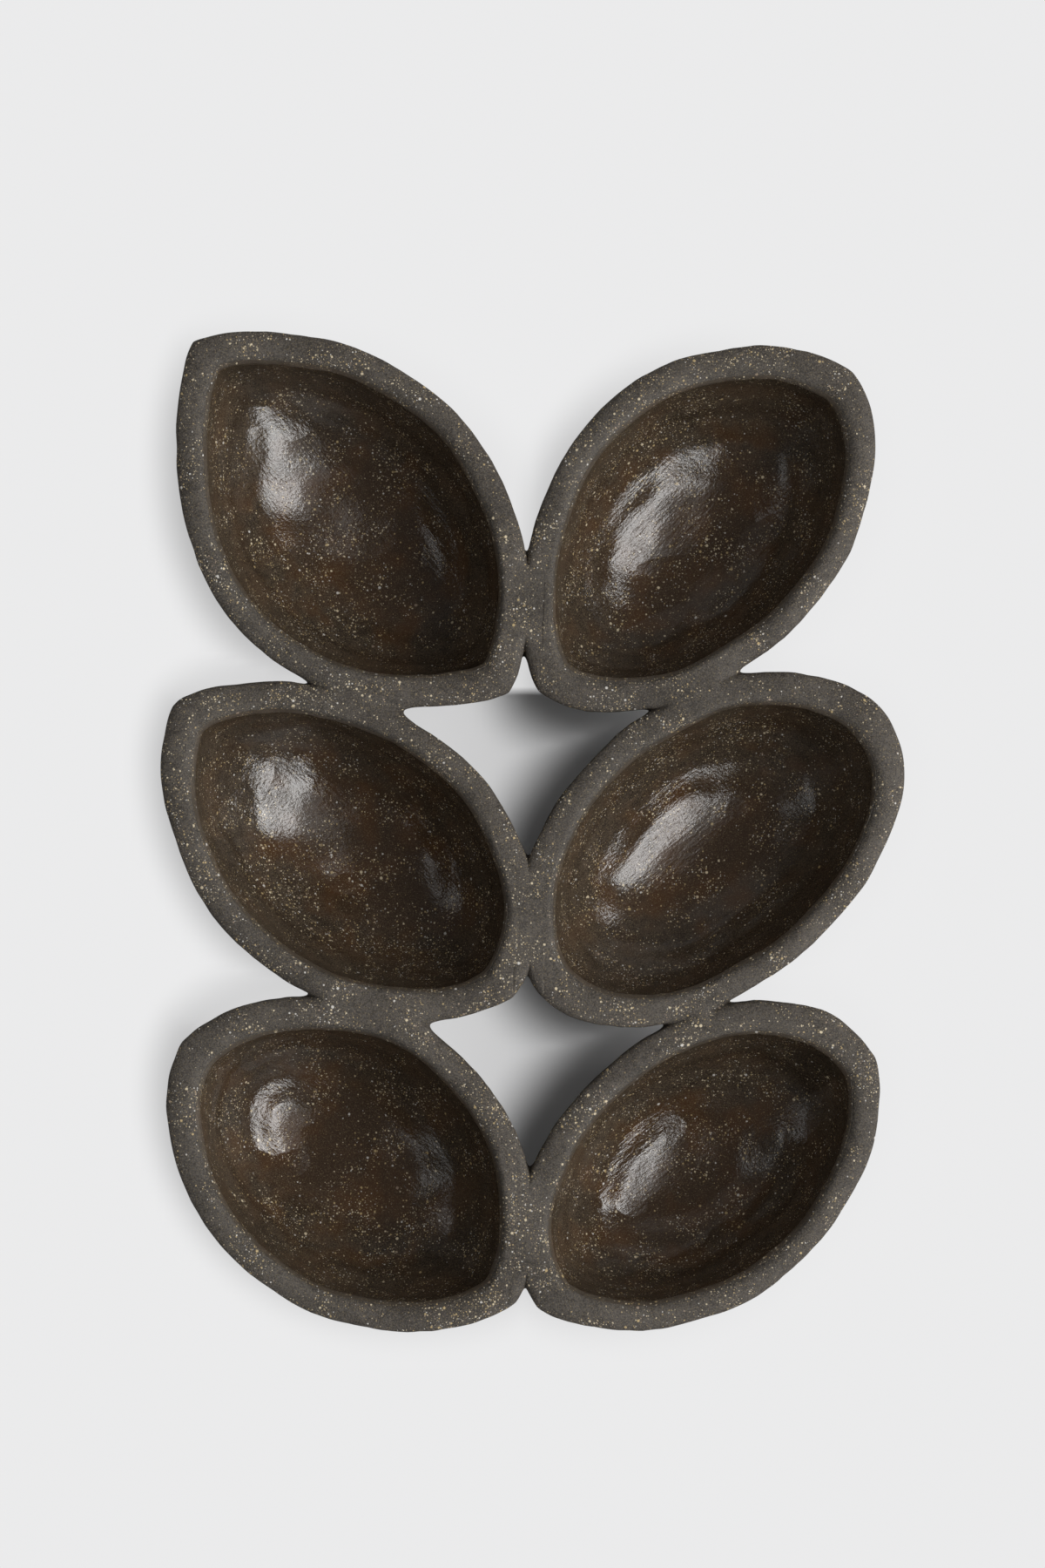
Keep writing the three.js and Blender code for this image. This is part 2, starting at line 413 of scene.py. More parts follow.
def loft(start: np.ndarray, rings: list[np.ndarray], end: np.ndarray) -> tuple[np.ndarray, Faces]:
    """A closed skin from a first point, out over rings of equal count, to a last point.

    Args:
        start: The point at which the skin begins, under the rings.
        rings: Rings of points, anticlockwise seen from above, in the order in which the skin meets them.
        end: The point at which the skin closes, above the last ring.

    Returns:
        The points and the faces, facing out.
    """
    count = len(rings[0])
    points = np.concatenate([start[None], *rings, end[None]])
    last = len(points) - 1
    here = np.arange(count)
    after = (here + 1) % count
    top = 1 + (len(rings) - 1) * count
    faces: Faces = [(0, int(1 + b), int(1 + a)) for a, b in zip(here, after)]
    for ring in range(len(rings) - 1):
        low = 1 + ring * count
        high = low + count
        faces.extend((int(low + a), int(low + b), int(high + b), int(high + a)) for a, b in zip(here, after))
    faces.extend((int(top + a), int(top + b), last) for a, b in zip(here, after))
    return points, faces


def edge_distances(points: np.ndarray, starts: np.ndarray, ends: np.ndarray) -> np.ndarray:
    """Squared distances from points to straight edges.

    Args:
        points: Places in plan, one a row.
        starts: The edges' first ends.
        ends: The edges' other ends.

    Returns:
        One row for each point, and one column for each edge.
    """
    edges = ends - starts
    reach = points[:, None, :] - starts[None]
    share = np.clip((reach * edges).sum(-1) / (edges * edges).sum(-1), 0, 1)
    gaps = reach - share[..., None] * edges
    return (gaps * gaps).sum(-1)


@dataclass
class Bowl:
    """One clay bowl with its hollow and its glaze lining.

    The glaze begins glaze_from round the rim's inner edge, film thick, and its back lies sunk in the clay.
    The shaping tool left mark_count rings of mark_height in the hollow, which wander by mark_drift of a
    wave's angle, a sum of drift_waves: how often each goes round, and its size. The hollow's ends are oval
    from round_by of the way in. The rim's inner edge is free of seams from free_from away from them, fully
    so free_over further. Where the hollow lies off centre, the rim's width changes over smooth_over outline
    points either way. planes holds what each seam flattens the bowl to: a point on its plane, the direction
    out of the bowl and half the seam's length.
    """

    place: Place
    leaf: Leaf
    section: Section
    hand: HandWork
    wall_rings: int = 22
    rim_rings: int = 9
    hollow_rings: int = 44
    lining_rings: int = 50
    back_every: int = 3
    foot_rings: tuple[float, ...] = (0.35, 0.7, 1.0)
    foot_round: float = 0.3
    wall_crowding: float = 1.3
    glaze_from: float = math.radians(60)
    film: float = 0.03
    sunk: float = 0.25
    mark_height: float = 0.17
    mark_count: float = 5.0
    mark_drift: float = 0.9
    drift_waves: tuple[tuple[int, float], ...] = ((1, 1.0), (2, 0.6), (5, 0.3))
    round_by: float = 0.8
    free_from: float = 6.0
    free_over: float = 14.0
    smooth_over: int = 10
    deepest_inset: float = 14.0
    halvings: int = 16
    tip: np.ndarray = field(init=False)
    planes: list[tuple[np.ndarray, np.ndarray, float]] = field(init=False, default_factory=list)

    def __post_init__(self) -> None:
        """Sets the leaf down where the frame holds its lining."""
        low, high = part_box(self.lining_node)
        centre = (np.array(low[:2]) + np.array(high[:2])) / 2 / MM + np.array(self.leaf.nudge)
        self.tip = np.zeros(2)
        drawn = self.outline(self.section.lining_inset)
        self.tip = centre - (drawn.min(axis=0) + drawn.max(axis=0)) / 2

    @property
    def clay_node(self) -> str:
        """Name of the CAD node of the clay."""
        return f"bowl_{self.place.value}"

    @property
    def lining_node(self) -> str:
        """Name of the CAD node of the glaze."""
        return f"glaze_{self.place.value}"

    @property
    def along(self) -> np.ndarray:
        """Direction from the inner tip to the outer one."""
        turn = math.radians(self.leaf.heading)
        return np.array([math.cos(turn), math.sin(turn)])

    @property
    def left(self) -> np.ndarray:
        """Direction to the left of the leaf's run."""
        return np.array([-self.along[1], self.along[0]])

    def outline(self, inset: float | np.ndarray, round_off: float = 0.0) -> np.ndarray:
        """The bowl's outline, drawn in from the rim's outer edge.

        Args:
            inset: Distance in from the edge along the sides, one for all points or one for each.
            round_off: How far the tips are rounded, from 0 for the rim's own to 1 for an oval's.

        Returns:
            Points in plan, anticlockwise from the inner tip.
        """
        leaf = self.leaf
        turn = turns()
        share = (1 - np.cos(turn)) / 2
        end = inset * self.section.tip_taper
        left, right = self.sides(share, inset, round_off)
        side = np.where(turn < math.pi, right, left)
        run = end + (leaf.length - 2 * end) * share
        return self.tip + np.outer(run, self.along) + np.outer(side, self.left)

    def holds(self, points: np.ndarray, inset: float | np.ndarray) -> np.ndarray:
        """Whether points lie inside the bowl's outline.

        Args:
            points: Places in plan, one a row.
            inset: How far the outline is drawn in, for all points or for each.

        Returns:
            One truth value for each point.
        """
        end = inset * self.section.tip_taper
        share = ((points - self.tip) @ self.along - end) / (self.leaf.length - 2 * end)
        side = (points - self.tip) @ self.left
        left, right = self.sides(np.clip(share, 0, 1), inset)
        return (share > 0) & (share < 1) & (side < left) & (side > right)

    def inset_of(self, points: np.ndarray) -> np.ndarray:
        """Insets at which the bowl's outline runs through points, up to deepest_inset.

        Args:
            points: Places in plan, one a row.

        Returns:
            One inset for each point, 0 outside the bowl.
        """
        low = np.zeros(len(points))
        high = np.full(len(points), self.deepest_inset)
        for _ in range(self.halvings):
            half = (low + high) / 2
            within = self.holds(points, half)
            low = np.where(within, half, low)
            high = np.where(within, high, half)
        return low

    def sides(
        self, share: np.ndarray, inset: float | np.ndarray, round_off: float = 0.0
    ) -> tuple[np.ndarray, np.ndarray]:
        """The bowl's two sides, drawn in from the rim's outer edge.

        Args:
            share: Shares of the leaf's length.
            inset: Distance in from the edge, one for all or one for each.
            round_off: How far the tips are rounded, from 0 to 1.

        Returns:
            Distances from the leaf's line: the left side's, and the right side's, which are negative.
        """
        leaf = self.leaf
        left = self.swell(share, leaf.inner_left, leaf.outer_left, round_off)
        right = self.swell(share, leaf.inner_right, leaf.outer_right, round_off)
        return (leaf.belly_left - inset) * left, -(leaf.belly_right - inset) * right

    @staticmethod
    def swell(share: np.ndarray, inner: float, outer: float, round_off: float) -> np.ndarray:
        """Half-width of one side at shares of its length, as a share of its widest.

        Args:
            share: Shares of the leaf's length.
            inner: How pointed the inner tip is.
            outer: How pointed the outer tip is.
            round_off: How far the tips are rounded, from 0 to 1.

        Returns:
            One share for each.
        """
        inner = inner + (OVAL_TIP - inner) * round_off
        outer = outer + (OVAL_TIP - outer) * round_off
        widest = inner / (inner + outer)
        return (share / widest) ** inner * ((1 - share) / (1 - widest)) ** outer

    @property
    def middle(self) -> np.ndarray:
        """Middle of the bowl in plan."""
        return self.outline(0).mean(axis=0)

    @property
    def free(self) -> np.ndarray:
        """How free of seams each outline point lies: 0 beside a seam, 1 well away from all."""
        outline = self.outline(0)
        free = np.ones(len(outline))
        for point, towards, half in self.planes:
            reach = outline - point
            beyond = np.maximum(np.abs(reach @ np.array([-towards[1], towards[0]])) - half, 0)
            gap = np.hypot(beyond, reach @ towards)
            share = np.clip((gap - self.free_from) / self.free_over, 0, 1)
            free = np.minimum(free, ease(share))
        return free

    @property
    def outward(self) -> np.ndarray:
        """Direction straight out from the bowl in plan, at each outline point."""
        outline = self.outline(0)
        run = np.roll(outline, -1, axis=0) - np.roll(outline, 1, axis=0)
        return np.column_stack([run[:, 1], -run[:, 0]]) / np.linalg.norm(run, axis=1, keepdims=True)

    @property
    def walls(self) -> np.ndarray:
        """The rim's width at each outline point, wider on one side where the hollow lies off centre."""
        trim = self.outward @ np.array(self.leaf.off_centre)
        steps = range(-self.smooth_over, self.smooth_over + 1)
        return self.section.wall - np.mean([np.roll(trim, step) for step in steps], axis=0)

    def lip(self, angle: float, offset: float = 0.0) -> tuple[np.ndarray, float]:
        """The rim's rounded inner edge, drawn out from the clay by an offset.

        Args:
            angle: 0 at the top, a right angle where the hollow's wall begins.
            offset: Distance from the clay.

        Returns:
            Inset at each outline point, and height.
        """
        section = self.section
        run = section.joint_lip + (section.lip_in - section.joint_lip) * self.free
        run = np.minimum(run, self.walls - section.edge_in - section.rim_flat)
        inset = self.walls - run + (run + offset) * math.sin(angle)
        return inset, section.hollow_top + (section.lip_drop + offset) * math.cos(angle)

    def past_edge(self, points: np.ndarray) -> np.ndarray:
        """How far past the hollow's edge points lie, negative on the rim, for points in plan."""
        outline = self.outline(0)
        nearest = np.linalg.norm(points[:, None] - outline[None], axis=-1).argmin(axis=1)
        return self.inset_of(points) - self.walls[nearest]

    def ring(
        self,
        inset: float | np.ndarray,
        height: float | np.ndarray,
        shrink: float = 1.0,
        round_off: float = 0.0,
    ) -> np.ndarray:
        """One ring of the bowl's skin, flattened where the bowl is pressed against a neighbour.

        Args:
            inset: Distance in from the rim's outer edge, one for all points or one for each.
            height: Height above the table, one for all points or one for each.
            shrink: Scale about the bowl's middle, for rings in the hollow and across the foot.
            round_off: How far the tips are rounded, from 0 to 1.

        Returns:
            Points in space.
        """
        plan = self.middle + (self.outline(inset, round_off) - self.middle) * shrink
        for point, towards, _ in self.planes:
            over = (plan - point) @ towards
            plan = plan - np.outer(np.maximum(over, 0), towards)
        return np.column_stack([plan, np.full(len(plan), height)])

    def hollow_ring(self, share: float, offset: float = 0.0) -> np.ndarray:
        """One ring of the hollow, whose ends grow rounder with depth.

        Args:
            share: 0 at the rim's inner edge, 1 in the middle of the bottom.
            offset: Distance from the clay.

        Returns:
            Points in space.
        """
        marked = offset + self.tool_marks(share)
        shrink, height = self.section.hollow(share, marked)
        ring = self.ring(self.walls + marked, height, shrink, ease(min(share / self.round_by, 1.0)))
        return ring + np.array([*self.leaf.low_shift, 0]) * (1 - shrink)

    def tool_marks(self, share: float) -> np.ndarray:
        """How far the shaping tool's shallow marks stand out from the hollow on one ring.

        Args:
            share: 0 at the rim's inner edge, 1 in the middle of the bottom.

        Returns:
            One height for each outline point.
        """
        start = self.leaf.heading
        drift = np.zeros(OUTLINE_POINTS)
        for number, (count, size) in enumerate(self.drift_waves, 1):
            drift += size * np.sin(count * turns() + number * start)
        waves = np.sin(2 * math.pi * self.mark_count * share + self.mark_drift * drift + start)
        return self.mark_height * math.sin(math.pi * share) * waves

    def pole(self, height: float) -> np.ndarray:
        """The point over the bowl's middle at a height."""
        return np.array([*self.middle, height])

    def lowest(self, offset: float = 0.0) -> np.ndarray:
        """The hollow's lowest point, drawn up from the clay by an offset."""
        return self.pole(self.section.low + offset) + np.array([*self.leaf.low_shift, 0])

    def clay_skin(self) -> tuple[np.ndarray, Faces]:
        """The bowl's foot, underside, rim and hollow as one closed skin.

        Returns:
            Points in millimetres, and faces.
        """
        section = self.section
        foot = section.hull(0.0)
        rings = [self.ring(foot + section.foot_edge, 0, shrink) for shrink in self.foot_rings]
        rounding = self.foot_round * section.foot_edge
        rings.append(self.ring(foot + rounding, rounding))
        for share in np.linspace(0, 1, self.wall_rings) ** self.wall_crowding:
            height = section.foot_edge + (section.shoulder - section.foot_edge) * share
            rings.append(self.ring(section.hull(height), height))
        quarter = np.linspace(0, RIGHT_ANGLE, self.rim_rings)
        rings.extend(self.ring(*section.edge(angle)) for angle in quarter[1:])
        rings.append(self.ring((section.edge_in + self.lip(0)[0]) / 2, section.rim_height))
        rings.extend(self.ring(*self.lip(angle)) for angle in quarter)
        shares = np.linspace(0, 1, self.hollow_rings)
        rings.extend(self.hollow_ring(share) for share in shares[1:-1])
        return loft(self.pole(0), rings, self.lowest())

    def lining_skin(self) -> tuple[np.ndarray, Faces]:
        """The glaze as a closed coat that thins out into the clay on the rim's inner edge.

        Returns:
            Points in millimetres, and faces.
        """
        coat = self.section.coat
        angles = np.linspace(self.glaze_from, RIGHT_ANGLE, self.rim_rings)
        shares = np.linspace(0, 1, self.lining_rings)
        back = [self.ring(*self.lip(angle, -self.sunk)) for angle in angles[::2]]
        back_shares = shares[self.back_every : -1 : self.back_every]
        back.extend(self.hollow_ring(share, -self.sunk) for share in back_shares)
        rings = back[::-1]
        for angle in angles:
            run = (angle - self.glaze_from) / (RIGHT_ANGLE - self.glaze_from)
            thick = self.film + (coat - self.film) * run**2
            rings.append(self.ring(*self.lip(angle, thick)))
        rings.extend(self.hollow_ring(share, coat) for share in shares[1:-1])
        return loft(self.lowest(-self.sunk), rings, self.lowest(coat))

    def leaf_frame(self, mesh: bpy.types.Mesh) -> None:
        """Stores each vertex's place along and across the leaf, in millimetres, for the glaze's streaks.

        Args:
            mesh: The lining's mesh.
        """
        places = np.empty(len(mesh.vertices) * 3)
        mesh.vertices.foreach_get("co", places)
        points = places.reshape(-1, 3) / MM
        plan = points[:, :2] - self.middle
        frame = np.column_stack([plan @ self.along, plan @ self.left, points[:, 2]])
        mesh.attributes.new("leaf_frame", "FLOAT_VECTOR", "POINT").data.foreach_set("vector", frame.ravel())

    def build(self, clay: bpy.types.Material, glaze: bpy.types.Material) -> None:
        """Makes and dresses the clay and the lining.

        Args:
            clay: The bare clay's material.
            glaze: The lining's material.
        """
        points, faces = self.clay_skin()
        body = make_piece(f"stoneware_{self.place.value}", self.hand.warp(points), faces)
        self.hand.press(body.data)
        settle(body, self.clay_node, clay)
        points, faces = self.lining_skin()
        lining = make_piece(f"lining_{self.place.value}", self.hand.warp(points), faces)
        self.hand.press(lining.data)
        self.leaf_frame(lining.data)
        settle(lining, self.lining_node, glaze)


@dataclass
class Seam:
    """The clay worked between two bowls, with a fillet down each side and a flush top.

    blends are the widths of its two fillets at the rim, at its start and at its end, from blend_over before
    its middle to as far past it. They grow to web over web_drop below the rim, where clay fills the
    notches. width is the band that the seam covers where the hollows leave room, and border the least
    distance to their edges. It stands proud of the bowls by a hair in its middle and sinks into them by
    sink at its borders, so that no faces coincide. A short crevice of crack_depth runs in from each notch,
    where the two rims still show their edges, and fades out crack_fade below the shoulder. The crowding
    values draw lines and levels closer at one end. A seam between the bowls of a column, whose across
    points down past level_below, runs to the right, and the others run down.
    """

    node: str
    first: Bowl
    second: Bowl
    hand: HandWork
    blends: tuple[float, float]
    web: float = 3.2
    web_drop: float = 6.0
    blend_over: float = 6.0
    width: float = 10.6
    border: float = 0.4
    proud: float = 0.05
    sink: float = 0.3
    sink_power: int = 4
    crack_depth: float = 0.9
    crack_width: float = 0.42
    crack_run: float = 5.0
    crack_fade: float = 3.0
    margin: float = 16.0
    nearby: float = 10.0
    columns: int = 20
    column_crowding: float = 1.7
    wall_rows: int = 14
    wall_crowding: float = 1.6
    top_rows: int = 8
    top_shares: tuple[float, ...] = (0.15, 0.35, 0.65, 1.0)
    samples: int = 121
    levels: int = 22
    level_crowding: float = 1.5
    level_below: float = -0.5
    middle: np.ndarray = field(init=False)
    across: np.ndarray = field(init=False)
    reach: float = field(init=False)
    halves: tuple[float, float] = field(init=False)

    def __post_init__(self) -> None:
        """Finds the plane in which the two outlines cross."""
        outline = self.first.outline(0)
        inside = outline[self.second.holds(outline, 0)]
        spans = np.linalg.norm(inside[:, None] - inside[None], axis=-1)
        start, end = np.unravel_index(spans.argmax(), spans.shape)
        chord = inside[end] - inside[start]
        across = np.array([-chord[1], chord[0]]) / np.linalg.norm(chord)
        towards = self.second.middle - self.first.middle
        self.across = across * np.sign(across @ towards)
        self.middle = (inside[start] + inside[end]) / 2
        half = float(spans.max()) / 2
        self.reach = half + self.margin
        room = [-self.border - bowl.past_edge(self.middle[None])[0] for bowl in (self.first, self.second)]
        self.halves = (min(self.width / 2, room[0]), min(self.width / 2, room[1]))
        self.first.planes.append((self.middle, self.across, half))
        self.second.planes.append((self.middle, -self.across, half))

    @property
    def along(self) -> np.ndarray:
        """Direction along the seam in plan, to the right or, for an upright seam, downwards."""
        way = 1 if self.across[1] < self.level_below else -1
        return np.array([-self.across[1], self.across[0]]) * way

    def lift(self, side: float | np.ndarray) -> float | np.ndarray:
        """How far the seam stands proud of the bowls at a distance from its plane."""
        share = np.maximum(-side / self.halves[0], side / self.halves[1])
        return self.proud - self.sink * share**self.sink_power

    @property
    def run(self) -> np.ndarray:
        """Places along the seam at which its depth is sampled."""
        return np.linspace(-self.reach, self.reach, self.samples)

    @property
    def sides(self) -> np.ndarray:
        """Distances from the seam's plane of the lines that make its skin, closest near the plane."""
        shares = np.linspace(-1, 1, self.columns + 1)
        return np.where(shares < 0, -self.halves[0], self.halves[1]) * np.abs(shares) ** self.column_crowding

    def depths(self, inset: float, drop: float) -> np.ndarray:
        """How far inside the joined clay the points along each line lie.

        Args:
            inset: How far both outlines are drawn in.
            drop: How far below the rim's rounded edge the points lie.

        Returns:
            The joined clay's signed distance, one row for each line and one column for each sample.
        """
        run = np.tile(self.run, len(self.sides))
        side = np.repeat(self.sides, self.samples)
        points = self.middle + np.outer(run, self.along) + np.outer(side, self.across)
        distances = []
        inner = np.full(len(points), np.inf)
        for bowl, other in ((self.first, self.second), (self.second, self.first)):
            outline = bowl.outline(inset)
            after = np.roll(outline, -1, axis=0)
            local = np.linalg.norm(outline - self.middle, axis=1) < self.reach + self.nearby
            free = ~(other.holds(outline, inset) | other.holds(after, inset))[local]
            squares = edge_distances(points, outline[local], after[local])
            sign = np.where(bowl.holds(points, inset), -1, 1)
            distances.append(sign * np.sqrt(squares.min(axis=1)))
            inner = np.minimum(inner, np.sqrt(squares[:, free].min(axis=1)))
        near, far = distances
        blend = np.interp(run, (-self.blend_over, self.blend_over), self.blends)
        blend = blend + np.clip(self.web - blend, 0, None) * min(drop / self.web_drop, 1.0)
        overlap = np.clip(1 - np.abs(near - far) / blend, 0, 1)
        filled = np.minimum(near, far) - overlap * overlap * blend / 4
        joined = np.where(np.minimum(near, far) < 0, np.minimum(filled, -inner), filled)
        return (joined - self.lift(side)).reshape(len(self.sides), self.samples)

    def span(self, depth: np.ndarray, level: float = 0.0) -> tuple[float, float]:
        """Where one line along the seam enters and leaves the joined clay.

        Args:
            depth: The clay's signed distance along the line.
            level: Depth inside the clay to find, 0 for its surface.

        Returns:
            The two places along the line, equal where it misses the clay.
        """
        run = self.run
        depth = depth + level
        deepest = int(depth.argmin())
        if depth[deepest] >= 0:
            return float(run[deepest]), float(run[deepest])
        ends = []
        for step in (-1, 1):
            i = deepest
            while 0 < i < len(run) - 1 and depth[i] < 0:
                i += step
            share = depth[i] / (depth[i] - depth[i - step]) if depth[i] > 0 else 0.0
            ends.append(float(run[i] - (run[i] - run[i - step]) * share))
        return ends[0], ends[1]

    def columns_of_rows(self) -> list[np.ndarray]:
        """The seam's cross-section on each line, from its underside over its walls to its top.

        Returns:
            For each line, rows of start place, end place and height.
        """
        section = self.first.section
        heights = section.shoulder * (1 - np.linspace(1, 0, self.levels) ** self.level_crowding)
        fields = [self.depths(section.hull(height), section.shoulder - height) for height in heights]
        top = self.depths(0.0, 0.0)
        return [self.rows(j, heights, fields, top[j]) for j in range(len(self.sides))]

    def rows(self, line: int, heights: np.ndarray, fields: list[np.ndarray], top: np.ndarray) -> np.ndarray:
        """The cross-section on one line.

        Args:
            line: The line's number.
            heights: Heights at which the clay's depth is known.
            fields: The depths there.
            top: The line's depths at the rim.

        Returns:
            Rows of start place, end place and height.
        """
        section = self.first.section
        lift = self.lift(self.sides[line])
        best = np.array([level[line].min() for level in fields])
        above = int(np.argmax(best < 0))
        share = best[above - 1] / (best[above - 1] - best[above]) if above else 1.0
        base = heights[above] - (1 - share) * (heights[above] - heights[above - 1]) if above else heights[0]
        spans = np.array([self.span(level[line]) for level in fields[above:]])
        centre = spans[0].mean()
        known = np.concatenate([[base - TINY], heights[above:]])
        starts = np.concatenate([[centre], spans[:, 0]])
        ends = np.concatenate([[centre], spans[:, 1]])
        shares = np.linspace(0, 1, self.wall_rows) ** self.wall_crowding
        levels = base + (section.shoulder - base) * shares
        rows = list(zip(np.interp(levels, known, starts), np.interp(levels, known, ends), levels))
        rows[0] = (centre, centre, base)
        deepest = -float(top.min())
        for angle in np.linspace(0, RIGHT_ANGLE, self.top_rows + 1)[1:]:
            level = min(section.edge(angle)[0], deepest)
            height = section.edge(math.acos(1 - level / section.edge_in))[1]
            rows.append((*self.span(top, level), height + lift))
        start, end, height = rows[-1]
        for part in self.top_shares:
            rows.append((start + (end - start) * part / 2, end - (end - start) * part / 2, height))
        return np.array(rows)

    def crack(self, side: float, column: np.ndarray, edges: tuple[float, float]) -> np.ndarray:
        """How deep the crevices are on one line of the seam.

        Args:
            side: The line's distance from the seam's plane.
            column: The line's rows of start place, end place and height.
            edges: The notches' places along the seam.

        Returns:
            Depths at the start and end places of every row.
        """
        across = math.exp(-((side / self.crack_width) ** 2))
        reach = np.column_stack([column[:, 0] - edges[0], edges[1] - column[:, 1]])
        along = np.clip(1 - reach / self.crack_run, 0, 1)
        upper = np.clip((column[:, 2:] - self.first.section.shoulder) / self.crack_fade + 1, 0, 1)
        return self.crack_depth * across * along * upper

    def lip_fall(self, plan: np.ndarray) -> np.ndarray:
        """How far the seam's top falls to stay under the bowls' inner edges, at places in plan."""
        section = self.first.section
        falls = [section.lip_fall(bowl.past_edge(plan)) for bowl in (self.first, self.second)]
        return np.maximum(*falls)

    def skin(self) -> tuple[np.ndarray, Faces]:
        """The seam's closed skin.

        Returns:
            Points in millimetres, and faces.
        """
        grid = self.columns_of_rows()
        shoulder_row = grid[self.columns // 2][self.wall_rows - 1]
        edges = (shoulder_row[0], shoulder_row[1])
        rows = len(grid[0])
        points = []
        for j, (side, column) in enumerate(zip(self.sides, grid)):
            cracks = self.crack(float(side), column, edges)
            line = self.middle + side * self.across
            plans = [line + np.outer(column[:, end], self.along) for end in (0, 1)]
            falls = [self.lip_fall(plan[self.wall_rows :]) for plan in plans]
            for end in (0, 1):
                height = column[:, 2] - cracks[:, end]
                height[self.wall_rows :] -= np.max(falls) if j in (0, self.columns) else falls[end]
                points.append(np.column_stack([plans[end], height]))

        def corner(column: int, end: int, row: int) -> int:
            """Number of a vertex. The two ends share one on the first and last rows."""
            shared = 0 if row in (0, rows - 1) else end
            return (2 * column + shared) * rows + row

        outward = 1 if self.along[0] * self.across[1] - self.along[1] * self.across[0] > 0 else 0
        faces: Faces = []
        for row in range(rows - 1):
            for j in range(self.columns):
                for end in (0, 1):
                    near = (corner(j, end, row), corner(j + 1, end, row))
                    square = (*near, corner(j + 1, end, row + 1), corner(j, end, row + 1))
                    faces.append(square if end == outward else square[::-1])
            for j in (0, self.columns):
                square = tuple(corner(j, *at) for at in ((0, row), (1, row), (1, row + 1), (0, row + 1)))
                faces.append(square if (j == 0) == (outward == 1) else square[::-1])
        tidy = [tuple(dict.fromkeys(face)) for face in faces]
        return np.concatenate(points), [face for face in tidy if len(face) > 2]

    def build(self, clay: bpy.types.Material) -> None:
        """Makes and dresses the seam.

        Args:
            clay: The luting clay's material.
        """
        points, faces = self.skin()
        used = np.unique(np.concatenate([np.array(face) for face in faces]))
        number = {int(old): new for new, old in enumerate(used)}
        faces = [tuple(number[i] for i in face) for face in faces]
        piece = make_piece(f"luting_{self.node}", self.hand.warp(points[used]), faces)
        self.hand.press(piece.data)
        settle(piece, self.node, clay)


Number = float | int


class Socket:
    """A shader value. Arithmetic on it adds Math nodes to its graph."""

    def __init__(self, graph: Graph, socket: bpy.types.NodeSocket) -> None:
        """Wraps an output socket of a graph's node."""
        self.graph = graph
        self.socket = socket

    def other(self, name: str) -> Socket:
        """Another output of the same node, by name."""
        return Socket(self.graph, self.socket.node.outputs[name])

    def math(self, operation: str, *others: Socket | Number) -> Socket:
        """A Math node on this value and others."""
        values = dict(enumerate((self, *others)))
        return self.graph.node("ShaderNodeMath", {"operation": operation}, values)

    def __add__(self, other: Socket | Number) -> Socket:
        """Sum."""
        return self.math("ADD", other)

    __radd__ = __add__

    def __sub__(self, other: Socket | Number) -> Socket:
        """Difference."""
        return self.math("SUBTRACT", other)

    def __rsub__(self, other: Number) -> Socket:
        """Difference from a number."""
        return self.graph.node("ShaderNodeMath", {"operation": "SUBTRACT"}, {0: other, 1: self})

    def __mul__(self, other: Socket | Number) -> Socket:
        """Product."""
        return self.math("MULTIPLY", other)

    __rmul__ = __mul__

    def __lt__(self, other: Socket | Number) -> Socket:
        """1 where this is the smaller, otherwise 0."""
        return self.math("LESS_THAN", other)

    def component(self, axis: str) -> Socket:
        """One component of a vector, X, Y or Z."""
        return self.graph.node("ShaderNodeSeparateXYZ", None, {"Vector": self}, out=axis)

    def clamp(self) -> Socket:
        """This value, held between 0 and 1."""
        return self.graph.node("ShaderNodeClamp", None, {"Value": self})

    def step(self, low: float, high: float) -> Socket:
        """A smooth rise from 0 at low to 1 at high."""
        feeds = {"Value": self, "From Min": low, "From Max": high}
        return self.graph.node("ShaderNodeMapRange", {"interpolation_type": "SMOOTHSTEP"}, feeds)


Colour = tuple[float, float, float]
Feed = Socket | Number | tuple[float, ...]


